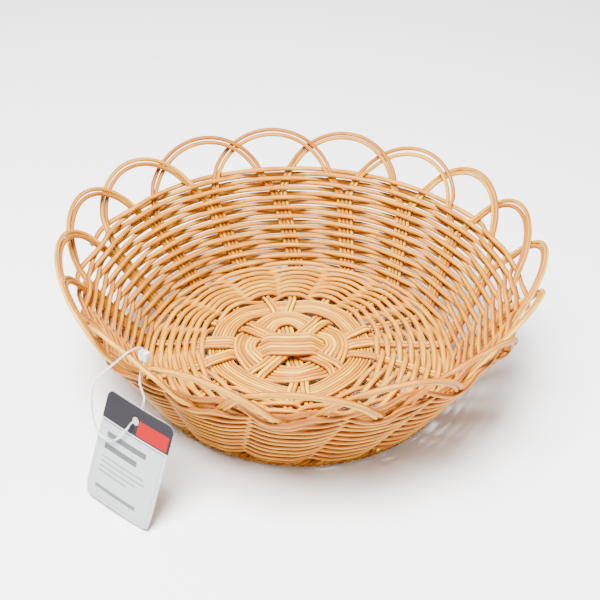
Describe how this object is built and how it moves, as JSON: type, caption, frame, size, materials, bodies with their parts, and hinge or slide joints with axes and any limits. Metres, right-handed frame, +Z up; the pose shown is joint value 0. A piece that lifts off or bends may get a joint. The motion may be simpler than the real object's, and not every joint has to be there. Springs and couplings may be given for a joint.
{
  "type": "woven wicker basket",
  "caption": "Shallow round basket of woven strands with a star base, a flared wall, an open border of crossing rim loops and a small hanging card.",
  "frame": {"origin": "centre of the circle that the foot border stands on, on the floor plane", "axes": "+Z up along the basket's axis; -Y is the side seen nearest in the source view, with the hanging card left of it; +X is to the right seen from there"},
  "size_m": [0.248, 0.2513, 0.082],
  "materials": {
    "strand": "satin, extruded, light tan",
    "tag_card": "coated, printed",
    "clear_cord": "clear",
    "clear_lock": "translucent white"
  },
  "bodies": {
    "basket": {"band_north_south": "strand", "band_northwest": "strand", "band_northeast": "strand", "band_west_east": "strand", "inner_ring": "strand", "outer_ring": "strand", "base_weave": "strand", "corner_weave": "strand", "wall_weave_lower": "strand", "wall_weave_upper": "strand", "split_weave": "strand", "rim_row": "strand", "foot_border": "strand", "stake_01": "strand", "stake_02": "strand", "stake_03": "strand", "stake_04": "strand", "stake_05": "strand", "stake_06": "strand", "stake_07": "strand", "stake_08": "strand", "stake_09": "strand", "stake_10": "strand", "stake_11": "strand", "stake_12": "strand", "stake_13": "strand", "stake_14": "strand", "stake_15": "strand", "stake_16": "strand", "stake_17": "strand", "rim_loop_01": "strand", "rim_loop_02": "strand", "rim_loop_03": "strand", "rim_loop_04": "strand", "rim_loop_05": "strand", "rim_loop_06": "strand", "rim_loop_07": "strand", "rim_loop_08": "strand", "rim_loop_09": "strand", "rim_loop_10": "strand", "rim_loop_11": "strand", "rim_loop_12": "strand", "rim_loop_13": "strand", "rim_loop_14": "strand", "rim_loop_15": "strand", "rim_loop_16": "strand", "rim_loop_17": "strand"},
    "hang_loop": {"hang_cord": "clear_cord", "hang_cord_lock": "clear_lock"},
    "tag": {"tag_card": "tag_card"}
  },
  "joints": [
    {"name": "hang_loop_swing", "type": "hinge", "parent": "basket", "child": "hang_loop", "pos_m": [-0.0712, -0.0979, 0.0793], "axis": [-0.8241, 0.5664, 0], "range_deg": [-4, 45]},
    {"name": "tag_tilt", "type": "hinge", "parent": "hang_loop", "child": "tag", "pos_m": [-0.0719, -0.1031, 0.0453], "axis": [-0.8241, 0.5664, 0], "range_deg": [-45, 5]}
  ]
}
